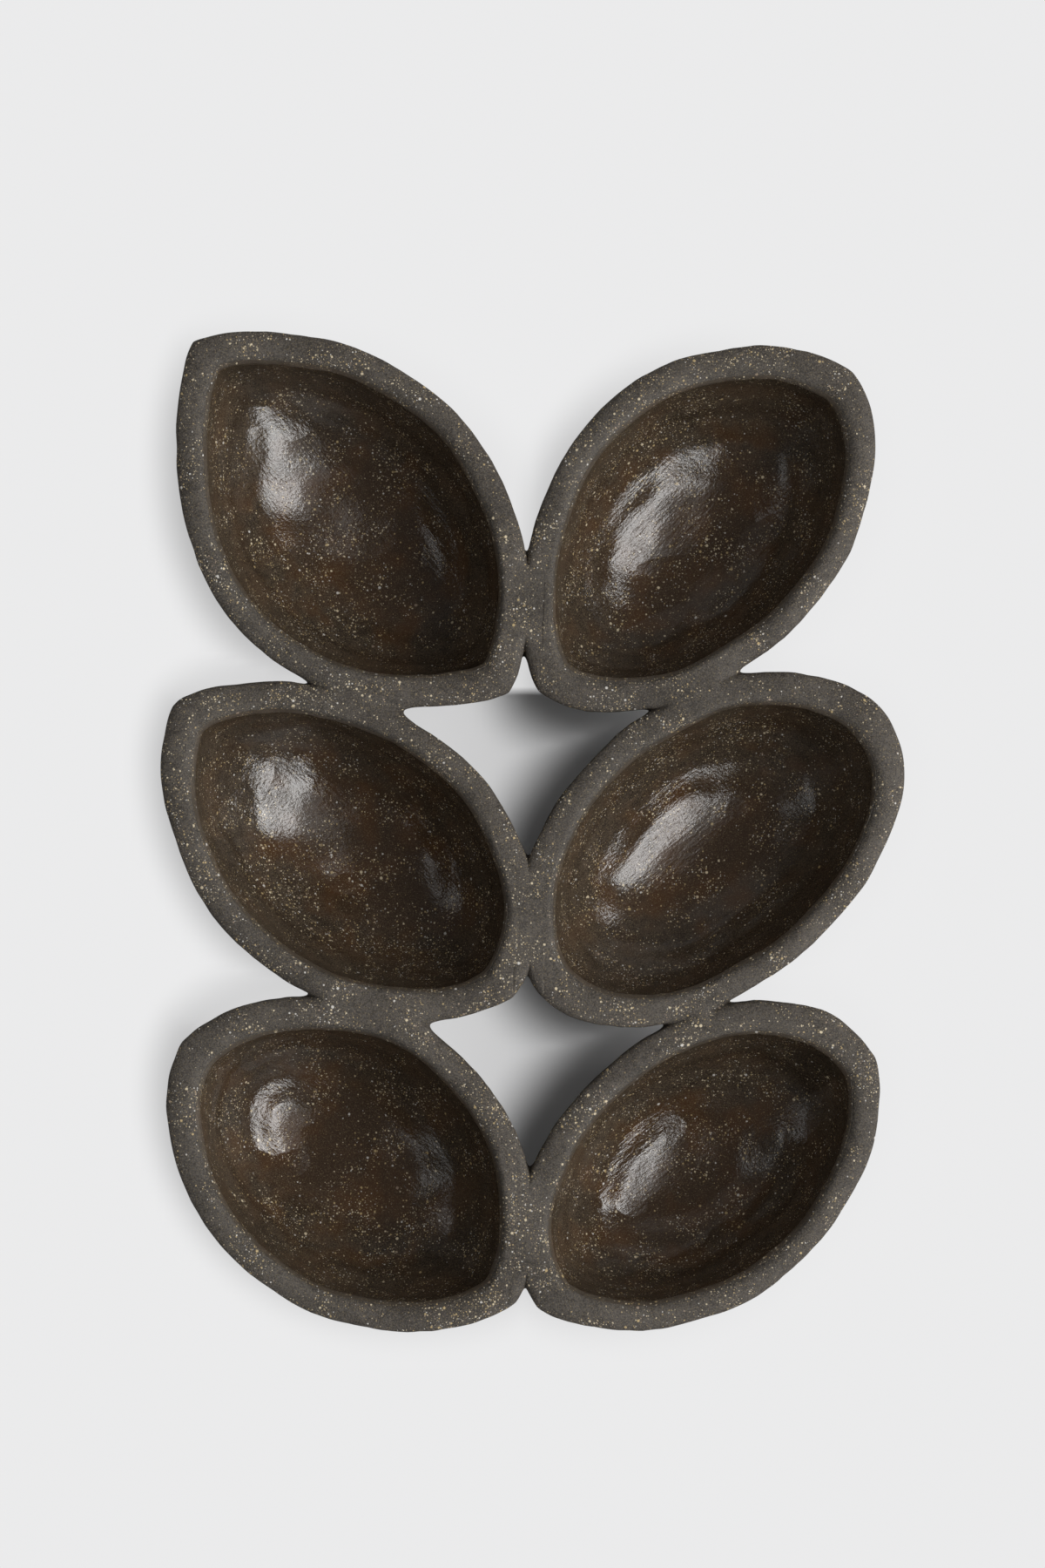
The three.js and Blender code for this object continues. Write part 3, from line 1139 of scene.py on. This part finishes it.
class Graph:
    """The node tree of one material or world."""

    def __init__(self, owner: bpy.types.Material | bpy.types.World) -> None:
        """Starts an empty tree on a material or world."""
        owner.use_nodes = True
        self.tree = owner.node_tree
        self.tree.nodes.clear()

    def node(
        self,
        kind: str,
        settings: dict[str, object] | None = None,
        feeds: dict[str | int, Feed] | None = None,
        out: str | int = 0,
    ) -> Socket:
        """Makes a node.

        Args:
            kind: The node's type.
            settings: Properties to set first. The key steps holds a stepped ramp's positions and colours.
            feeds: Values or links for its inputs, by name or number.
            out: The output to return.

        Returns:
            One of its outputs, or an unlinked shell for a node without any.
        """
        made = self.tree.nodes.new(kind)
        for name, value in (settings or {}).items():
            if name == "steps":
                self.set_steps(made.color_ramp, value)
            else:
                setattr(made, name, value)
        for name, value in (feeds or {}).items():
            target = made.inputs[name]
            if isinstance(value, Socket):
                self.tree.links.new(value.socket, target)
            elif isinstance(value, tuple) and len(value) == 3 and target.type == "RGBA":
                target.default_value = (*value, 1.0)
            else:
                target.default_value = value
        return Socket(self, made.outputs[out] if len(made.outputs) else made.inputs[0])

    @staticmethod
    def set_steps(ramp: bpy.types.ColorRamp, steps: tuple[tuple[float, Colour], ...]) -> None:
        """Sets the positions and colours of a ramp that changes in steps."""
        ramp.interpolation = "CONSTANT"
        while len(ramp.elements) < len(steps):
            ramp.elements.new(0.5)
        for element, (position, colour) in zip(ramp.elements, steps):
            element.position = position
            element.color = (*colour, 1.0)

    def mix(self, factor: Socket | Number, first: Feed, second: Feed, blend: str = "MIX") -> Socket:
        """A colour between two, or one blended over another.

        Args:
            factor: How much of the second.
            first: Colour or link.
            second: Colour or link.
            blend: The Mix node's blend type.

        Returns:
            The mixed colour.
        """
        settings = {"data_type": "RGBA", "blend_type": blend, "clamp_factor": True}
        return self.node("ShaderNodeMix", settings, {0: factor, 6: first, 7: second}, out=2)

    def millimetres(self) -> Socket:
        """Places on the piece in the row frame, in millimetres."""
        place = self.node("ShaderNodeTexCoord").other("Object")
        return self.node("ShaderNodeVectorMath", {"operation": "SCALE"}, {0: place, "Scale": 1 / MM})

    def noise(self, place: Socket, size: float, detail: float = 3.0, rough: float = 0.55) -> Socket:
        """A noise field with features of a size in millimetres."""
        feeds = {"Vector": place, "Scale": 1 / size, "Detail": detail, "Roughness": rough}
        return self.node("ShaderNodeTexNoise", None, feeds)

    def stretch(self, place: Socket, scale: tuple[float, float, float]) -> Socket:
        """Places scaled by a factor along each axis."""
        return self.node("ShaderNodeVectorMath", {"operation": "MULTIPLY"}, {0: place, 1: scale})

    @staticmethod
    def total(values: tuple[Socket, ...], weights: tuple[float, ...]) -> Socket:
        """A weighted sum of values."""
        parts = [value * weight for value, weight in zip(values, weights)]
        return sum(parts[1:], start=parts[0])

    def bump(self, relief: Socket, strength: float, depth: float) -> Socket:
        """A normal bent by a relief with a depth in millimetres."""
        feeds = {"Strength": strength, "Distance": depth * MM, "Height": relief}
        return self.node("ShaderNodeBump", None, feeds)

    def finish(self, colour: Socket, rough: Socket, normal: Socket, gloss: float) -> None:
        """Ends a material with a Principled shader.

        Args:
            colour: Its base colour.
            rough: Its roughness.
            normal: Its bent normal.
            gloss: How strongly it reflects, the same all over.
        """
        feeds = {"Base Color": colour, "Roughness": rough, "Normal": normal, "Specular IOR Level": gloss}
        shader = self.node("ShaderNodeBsdfPrincipled", None, feeds)
        self.node("ShaderNodeOutputMaterial", None, {"Surface": shader})


@dataclass(frozen=True)
class Specks:
    """Grains in the clay, seen as flecks where the surface cuts them.

    cell is their usual spacing, radius their largest, and share how many of them show. The smallest are
    least of the largest, and a fleck's edge fades over soft of the largest radius.
    """

    cell: float
    radius: float
    share: float
    least: float = 0.35
    soft: float = 0.3

    def lay(self, graph: Graph, place: Socket, crowd: Socket) -> tuple[Socket, Socket]:
        """Adds the flecks to a graph.

        Args:
            graph: The material's graph.
            place: Places in millimetres.
            crowd: How crowded the flecks are, about 1.

        Returns:
            The flecks' mask, and a random value for each fleck.
        """
        cells = graph.node("ShaderNodeTexVoronoi", None, {"Vector": place, "Scale": 1 / self.cell})
        chance = graph.node("ShaderNodeSeparateColor", None, {"Color": cells.other("Color")})
        radius = (chance.other("Green") * (1 - self.least) + self.least) * (self.radius / self.cell)
        dot = ((radius - cells) * (self.cell / (self.soft * self.radius))).clamp()
        shown = chance < crowd * self.share
        return dot * shown, chance.other("Blue")


@dataclass(frozen=True)
class Grog:
    """All the grains of one body, from dust to coarse, in mixed mineral tones.

    They crowd together in clumps, where the noise passes clump_step, and each is clump_gain as common there
    over clump_least between. Dark grains show less plainly, by tint. Their outlines are ragged, over
    ragged_size.
    """

    layers: tuple[Specks, ...] = (Specks(0.6, 0.22, 0.46), Specks(0.9, 0.34, 0.36), Specks(1.8, 0.54, 0.24))
    tones: tuple[tuple[float, Colour], ...] = (
        (0.0, (0.46, 0.35, 0.26)),
        (0.16, (0.64, 0.48, 0.24)),
        (0.5, (0.8, 0.68, 0.47)),
        (0.86, (0.72, 0.69, 0.64)),
    )
    tint: float = 0.35
    dust: Colour = (0.30, 0.235, 0.13)
    dust_size: float = 0.34
    dust_step: tuple[float, float] = (0.54, 0.76)
    dust_weight: float = 0.5
    clump: float = 13.0
    clump_step: tuple[float, float] = (0.42, 0.64)
    clump_gain: float = 2.1
    clump_least: float = 0.14
    ragged: float = 0.22
    ragged_size: float = 0.3

    def colour(self, graph: Graph, place: Socket, under: Socket, strength: Number) -> tuple[Socket, Socket]:
        """Lays the grains over a colour.

        Args:
            graph: The material's graph.
            place: Places in millimetres.
            under: The colour between the grains.
            strength: How plainly they show, from 0 to 1.

        Returns:
            The speckled colour, and the coarse grains' mask.
        """
        clumps = graph.noise(place, self.clump, rough=0.65).step(*self.clump_step)
        crowd = clumps * self.clump_gain + self.clump_least
        dust = graph.noise(place, self.dust_size, detail=1.0).step(*self.dust_step)
        under = graph.mix(dust * strength * self.dust_weight, under, self.dust)
        nudge = graph.noise(place, self.ragged_size, detail=1.0).other("Color")
        feeds = {0: nudge, 1: (self.ragged,) * 3, 2: place}
        place = graph.node("ShaderNodeVectorMath", {"operation": "MULTIPLY_ADD"}, feeds)
        mask = dust
        for layer in self.layers:
            mask, chance = layer.lay(graph, place, crowd)
            tone = graph.node("ShaderNodeValToRGB", {"steps": self.tones}, {"Fac": chance})
            under = graph.mix(mask * (1 - self.tint + chance * self.tint) * strength, under, tone)
        return under, mask


@dataclass(frozen=True)
class Stoneware:
    """Bare fired clay: matte, dark grey-brown, with pale grains and fine pores, whose dark colour is painted
    shade in the pits, and browner and darker below the rim, partly painted shade.

    Its tone mixes clouds, mottle and grain by body_weights, and its relief grain, mottle, pores and coarse
    grains by relief_weights. Over hull_shade_band below the rim, on a line that wavers by hull_waver, it
    darkens to the hull's tone: partly the underside's own browner clay, partly painted shade on the rim's
    rounded outer edge and the underside.
    """

    name: str
    rim_height: float
    dark: Colour = (0.032, 0.0265, 0.022)
    pale: Colour = (0.116, 0.102, 0.088)
    # The hull's tone: the underside's browner clay, made darker as painted shade of the rounded outer edge
    # and underside.
    hull: Colour = (0.036, 0.028, 0.022)
    # The pores' colour is painted shade inside the pits.
    pore_shade: Colour = (0.014, 0.011, 0.008)
    cloud_size: float = 24.0
    mottle_size: float = 2.6
    grain_size: float = 0.46
    body_weights: tuple[float, ...] = (0.9, 0.6, 2.0)
    body_step: tuple[float, float] = (1.3, 2.25)
    hull_shade_band: tuple[float, float] = (2.8, 0.3)
    hull_waver: float = 1.2
    hull_shade_weight: float = 0.85
    pore_size: float = 0.7
    pore_step: tuple[float, float] = (0.64, 0.76)
    pore_shade_weight: float = 0.4
    grog: Grog = Grog()
    grog_weight: float = 0.95
    relief_weights: tuple[float, ...] = (0.9, 0.6, -0.5, 0.4)
    relief_strength: float = 0.6
    relief_depth: float = 0.14
    rough: float = 0.62
    rough_grain: float = 0.25
    gloss: float = 0.3

    def material(self) -> bpy.types.Material:
        """Makes the material.

        Returns:
            The finished material.
        """
        made = bpy.data.materials.new(self.name)
        graph = Graph(made)
        place = graph.millimetres()
        clouds = graph.noise(place, self.cloud_size)
        mottle = graph.noise(place, self.mottle_size, rough=0.6)
        grain = graph.noise(place, self.grain_size, detail=2.0, rough=0.65)
        body = graph.total((clouds, mottle, grain), self.body_weights).step(*self.body_step)
        colour = graph.mix(body, self.dark, self.pale)
        # Painted shade: darker from just under the rim's top, down the rounded outer edge and the underside,
        # partly the underside's own tone.
        low, high = (self.rim_height - drop for drop in self.hull_shade_band)
        below = 1 - (place.component("Z") + mottle * self.hull_waver).step(low, high)
        colour = graph.mix(below * self.hull_shade_weight, colour, self.hull)
        colour, coarse = self.grog.colour(graph, place, colour, self.grog_weight)
        # Pores: painted shade darkens each pit, which the relief also dents.
        pores = graph.noise(place, self.pore_size, detail=1.0).step(*self.pore_step)
        colour = graph.mix(pores * self.pore_shade_weight, colour, self.pore_shade)
        relief = graph.total((grain, mottle, pores, coarse), self.relief_weights)
        bump = graph.bump(relief, self.relief_strength, self.relief_depth)
        rough = self.rough + grain * self.rough_grain
        graph.finish(colour, rough, bump, self.gloss)
        return made


@dataclass(frozen=True)
class BrownGlaze:
    """Glossy dark glaze over speckled clay, brushed on along the leaf.

    It pools darker and redder below pool_height, over pool_band, and is paler by wall_gain up the wall,
    over wall_heights, both on a line that wavers with the noise. It thins out to the clay's tone over
    edge_band below the rim. Dark bands, about band apart, run level round the hollow. Its tone
    mixes clouds, mottle and grain by body_weights, and its relief brush streaks, grain, orange peel and
    mottle by relief_weights.
    """

    name: str
    rim_height: float
    dark: Colour = (0.019, 0.0140, 0.0105)
    brown: Colour = (0.090, 0.067, 0.048)
    cloud_size: float = 26.0
    mottle_size: float = 3.2
    grain_size: float = 0.45
    body_weights: tuple[float, ...] = (0.5, 0.5, 1.3)
    body_step: tuple[float, float] = (0.75, 1.55)
    waver_clouds: float = 9.0
    waver_mottle: float = 2.0
    waver_middle: float = 5.5
    wall_gain: Colour = (1.1, 1.1, 1.08)
    wall_heights: tuple[float, float] = (14.0, 26.0)
    band: float = 7.0
    band_tone: Colour = (0.029, 0.0185, 0.0120)
    band_stretch: tuple[float, float, float] = (0.05, 0.05, 1.0)
    band_step: tuple[float, float] = (0.47, 0.66)
    band_weight: float = 0.6
    pool: Colour = (0.050, 0.027, 0.0140)
    pool_height: float = 13.0
    pool_band: tuple[float, float] = (-3.0, 3.5)
    pool_weight: float = 0.7
    rust: Colour = (0.078, 0.037, 0.0155)
    rust_size: float = 13.0
    rust_step: tuple[float, float] = (0.42, 0.7)
    rust_weight: float = 0.8
    rust_loss: float = 0.5
    thin: Colour = (0.084, 0.070, 0.055)
    edge_band: tuple[float, float] = (3.5, 0.8)
    edge_weight: float = 0.5
    grog: Grog = Grog(clump=11.0)
    grog_weight: float = 0.8
    streak_size: float = 0.9
    streak_stretch: tuple[float, float, float] = (0.16, 1.0, 0.5)
    peel_size: float = 1.1
    relief_weights: tuple[float, ...] = (1.8, 0.8, 1.4, 0.9)
    relief_strength: float = 0.55
    relief_depth: float = 0.12
    rough: float = 0.06
    rough_mottle: float = 0.1
    rough_edge: float = 0.35
    gloss: float = 0.5

    def material(self) -> bpy.types.Material:
        """Makes the material.

        Returns:
            The finished material.
        """
        made = bpy.data.materials.new(self.name)
        graph = Graph(made)
        place = graph.millimetres()
        leaf = graph.node("ShaderNodeAttribute", {"attribute_name": "leaf_frame"}, None, out="Vector")
        streaks = graph.noise(graph.stretch(leaf, self.streak_stretch), self.streak_size, rough=0.6)
        clouds = graph.noise(place, self.cloud_size)
        mottle = graph.noise(place, self.mottle_size, rough=0.6)
        grain = graph.noise(place, self.grain_size, detail=2.0, rough=0.6)
        body = graph.total((clouds, mottle, grain), self.body_weights).step(*self.body_step)
        colour = graph.mix(body, self.dark, self.brown)
        height = place.component("Z")
        depth = height + clouds * self.waver_clouds + mottle * self.waver_mottle - self.waver_middle
        wall = depth.step(*self.wall_heights)
        colour = graph.mix(wall, colour, self.wall_gain, blend="MULTIPLY")
        level = graph.stretch(leaf, self.band_stretch)
        bands = graph.noise(level, self.band, detail=2.0, rough=0.5).step(*self.band_step)
        colour = graph.mix(bands * self.band_weight, colour, self.band_tone)
        pooled = 1 - depth.step(*(self.pool_height + rise for rise in self.pool_band))
        colour = graph.mix(pooled * self.pool_weight, colour, self.pool)
        rusty = graph.noise(place, self.rust_size, detail=2.0).step(*self.rust_step)
        colour = graph.mix(rusty * (self.rust_weight - wall * self.rust_loss), colour, self.rust)
        low, high = (self.rim_height - drop for drop in self.edge_band)
        edge = (height + mottle * self.waver_mottle).step(low, high)
        colour = graph.mix(edge * self.edge_weight, colour, self.thin)
        colour, _ = self.grog.colour(graph, place, colour, self.grog_weight)
        peel = graph.noise(place, self.peel_size, detail=2.0, rough=0.5)
        relief = graph.total((streaks, grain, peel, mottle), self.relief_weights)
        bump = graph.bump(relief, self.relief_strength, self.relief_depth)
        rough = self.rough + mottle * self.rough_mottle + edge * self.rough_edge
        graph.finish(colour, rough, bump, self.gloss)
        return made


@dataclass(frozen=True)
class Softbox:
    """A large soft lamp that looks at the dish.

    from_way is where it stands, in plan, and tilt its angle from upright, in degrees. Its distance and size
    are in metres, its power in watts.
    """

    name: str
    from_way: float
    tilt: float
    distance: float
    size: tuple[float, float]
    power: float
    rays: Rays = Rays.ALL

    def hang(self) -> None:
        """Puts the lamp up."""
        lamp = bpy.data.lights.new(self.name, "AREA")
        lamp.shape = "RECTANGLE"
        lamp.size, lamp.size_y = self.size
        lamp.energy = self.power
        holder = bpy.data.objects.new(self.name, lamp)
        way = math.radians(self.from_way)
        tilt = math.radians(self.tilt)
        flat = math.sin(tilt)
        aim = Vector((math.cos(way) * flat, math.sin(way) * flat, math.cos(tilt)))
        holder.location = aim * self.distance
        holder.rotation_euler = aim.to_track_quat("Z", "Y").to_euler()
        holder.visible_diffuse = self.rays is not Rays.GLOSS
        holder.visible_glossy = self.rays is not Rays.MATTE
        bpy.context.scene.collection.objects.link(holder)


@dataclass(frozen=True)
class Studio:
    """Pale floor, soft lamps and the camera looking straight down.

    The photograph's frame covers view_size at the rim's height, and its middle lies view_offset from the
    dish's. The camera sees the floor as plain paper but for a soft shade near the dish. shade_way is the
    way that the shade falls, and lean_back how far it reaches round to the other side. Each bowl's own edge
    sets the way over about shade_reach, and the shade ends at plain_from. The gaps between the bowls lie
    within gap_half of the dish's middle. fine_floor is the half-width, half-depth and step of the floor's
    finer part.
    """

    view_size: tuple[float, float] = (300.0, 450.0)
    view_offset: tuple[float, float] = (-2.5, 13.4)
    camera_height: float = 1150.0
    camera_reach: float = 20.0
    sensor: float = 36.0
    floor_size: float = 8.0
    floor_colour: Colour = (0.83, 0.83, 0.835)
    sky_light: float = 0.2
    sky_gloss: float = 0.1
    near_plain: tuple[float, float] = (0.93, 0.5)
    shade_way: float = math.radians(200)
    shade_reach: float = 8.0
    lean_back: float = 0.5
    plain_from: float = 16.0
    gap_half: float = 44.0
    gap_plain: tuple[float, float] = (0.02, 0.66)
    gap_reach: tuple[float, float] = (1.0, 22.0)
    fine_floor: tuple[float, float, float] = (180.0, 220.0, 2.5)
    lamps: tuple[Softbox, ...] = (
        Softbox("key_lamp", -4, 46, 3.0, (3.0, 2.4), 96.0, Rays.MATTE),
        Softbox("window_lamp", -28, 43, 3.0, (3.2, 1.2), 122.0, Rays.GLOSS),
        Softbox("haze_lamp", -28, 20, 3.0, (2.6, 1.0), 9.0, Rays.GLOSS),
        Softbox("fill_lamp", 190, 53, 2.5, (1.1, 0.35), 2.8),
    )

    def plain_share(self, points: np.ndarray, bowls: list[Bowl]) -> np.ndarray:
        """How far the floor shows as plain paper, without shadow.

        Outside the dish it grows to 1 at plain_from, from near_plain's values at the edges that face the
        key lamp and those that face shade_way. In the gaps it grows between gap_plain's values over
        gap_reach from the bowls on the key lamp's side.

        Args:
            points: Places on the floor in millimetres, one a row.
            bowls: The dish's bowls.

        Returns:
            One share for each point.
        """
        nearest = np.full(len(points), np.inf)
        right = nearest.copy()
        away = np.zeros_like(points)
        weight = np.full(len(points), TINY)
        for bowl in bowls:
            outline = bowl.outline(0)
            spans = np.linalg.norm(points[:, None] - outline[None], axis=-1)
            reach = np.where(bowl.holds(points, 0), 0, spans.min(axis=1))
            pull = np.exp(-reach / self.shade_reach)
            away += bowl.outward[spans.argmin(axis=1)] * pull[:, None]
            weight += pull
            nearest = np.minimum(nearest, reach)
            if bowl.place in RIGHT_SIDE:
                right = np.minimum(right, reach)
        shade = np.array([math.cos(self.shade_way), math.sin(self.shade_way)])
        lean = np.clip((away @ shade / weight + self.lean_back) / (1 + self.lean_back), 0, 1)
        near = self.near_plain[0] + (self.near_plain[1] - self.near_plain[0]) * lean
        outer = np.clip(nearest / self.plain_from, 0, 1)
        plain = near + (1 - near) * ease(outer)
        low, high = self.gap_plain
        shaded = low + (high - low) * ease(np.interp(right, self.gap_reach, (0, 1)))
        ends = [bowl.tip[1] for bowl in bowls]
        between = (points[:, 1] > min(ends)) & (points[:, 1] < max(ends))
        between &= np.abs(points[:, 0]) < self.gap_half
        return np.where(between, shaded, plain)

    def lay_floor(self, bowls: list[Bowl]) -> None:
        """Makes the floor, with its share of plain paper for the camera.

        Args:
            bowls: The dish's bowls, whose shadows it keeps.
        """
        half = self.floor_size / 2 / MM
        wide, deep, step = self.fine_floor
        across = np.concatenate([[-half], np.arange(-wide, wide + step, step), [half]])
        along = np.concatenate([[-half], np.arange(-deep, deep + step, step), [half]])
        grid = np.stack(np.meshgrid(across, along), axis=-1).reshape(-1, 2)
        row = len(across)
        faces = []
        for j in range(len(along) - 1):
            for i in range(row - 1):
                low = j * row + i
                faces.append((low, low + 1, low + row + 1, low + row))
        mesh = bpy.data.meshes.new("floor")
        mesh.from_pydata((np.column_stack([grid, np.zeros(len(grid))]) * MM).tolist(), [], faces)
        share = mesh.attributes.new("plain_share", "FLOAT", "POINT")
        share.data.foreach_set("value", self.plain_share(grid, bowls))
        floor = bpy.data.objects.new("floor", mesh)
        bpy.context.scene.collection.objects.link(floor)
        made = bpy.data.materials.new("floor_paper")
        graph = Graph(made)
        seen = graph.node("ShaderNodeLightPath", None, None, out="Is Camera Ray")
        plain_share = graph.node("ShaderNodeAttribute", {"attribute_name": "plain_share"}, None, out="Fac")
        paper = graph.node("ShaderNodeBsdfDiffuse", None, {"Color": self.floor_colour})
        plain = graph.node("ShaderNodeEmission", None, {"Color": self.floor_colour, "Strength": 1.0})
        surface = graph.node("ShaderNodeMixShader", None, {0: seen * plain_share, 1: paper, 2: plain})
        graph.node("ShaderNodeOutputMaterial", None, {"Surface": surface})
        mesh.materials.append(made)

    def light(self) -> None:
        """Sets the even sky light and puts up the lamps.

        The camera sees the floor's colour behind the floor, and gloss reflects a dimmer ceiling.
        """
        world = bpy.data.worlds.new("studio")
        bpy.context.scene.world = world
        graph = Graph(world)
        seen = graph.node("ShaderNodeLightPath", None, None, out="Is Camera Ray")
        glossy = seen.other("Is Glossy Ray")
        strength = seen * (1 - self.sky_light) - glossy * (self.sky_light - self.sky_gloss) + self.sky_light
        colour = graph.mix(seen, (1.0, 1.0, 1.0), self.floor_colour)
        sky = graph.node("ShaderNodeBackground", None, {"Color": colour, "Strength": strength})
        graph.node("ShaderNodeOutputWorld", None, {"Surface": sky})
        for lamp in self.lamps:
            lamp.hang()

    def set_camera(self, rim_height: float) -> None:
        """Places the camera over the dish, with the photograph's up towards +Y.

        Args:
            rim_height: Height of the plane that the frame is measured in, in millimetres.
        """
        lens = bpy.data.cameras.new("camera")
        lens.sensor_fit = "VERTICAL"
        lens.sensor_height = self.sensor
        lens.lens = self.sensor * (self.camera_height - rim_height) / self.view_size[1]
        lens.clip_end = self.camera_reach
        camera = bpy.data.objects.new("camera", lens)
        camera.location = (self.view_offset[0] * MM, self.view_offset[1] * MM, self.camera_height * MM)
        bpy.context.scene.collection.objects.link(camera)
        bpy.context.scene.camera = camera

    def build(self, bowls: list[Bowl]) -> None:
        """Sets up the whole studio.

        Args:
            bowls: The dish's bowls.
        """
        bpy.context.scene.view_settings.view_transform = "Standard"
        self.lay_floor(bowls)
        self.light()
        self.set_camera(bowls[0].section.rim_height)


def main() -> None:
    """Loads the frame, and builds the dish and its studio."""
    logging.basicConfig(level=logging.INFO, format="%(name)s %(message)s")
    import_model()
    section = Section(rim_height=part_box("bowl_top_left")[1][2] / MM)
    hand = HandWork(section.rim_height)
    clay = Stoneware("speckled_stoneware", section.rim_height).material()
    luting = Stoneware("smoothed_luting_clay", section.rim_height).material()
    glaze = BrownGlaze("brown_glaze", section.rim_height).material()
    bowls = {place: Bowl(place, leaf, section, hand) for place, leaf in LEAVES.items()}
    Studio().build(list(bowls.values()))
    seams = []
    for node, joint in JOINTS.items():
        fills = (joint.start_fill, joint.end_fill)
        seams.append(Seam(node, bowls[joint.first], bowls[joint.second], hand, fills))
    for bowl in bowls.values():
        bowl.build(clay, glaze)
    for seam in seams:
        seam.build(luting)


if __name__ == "__main__":
    main()
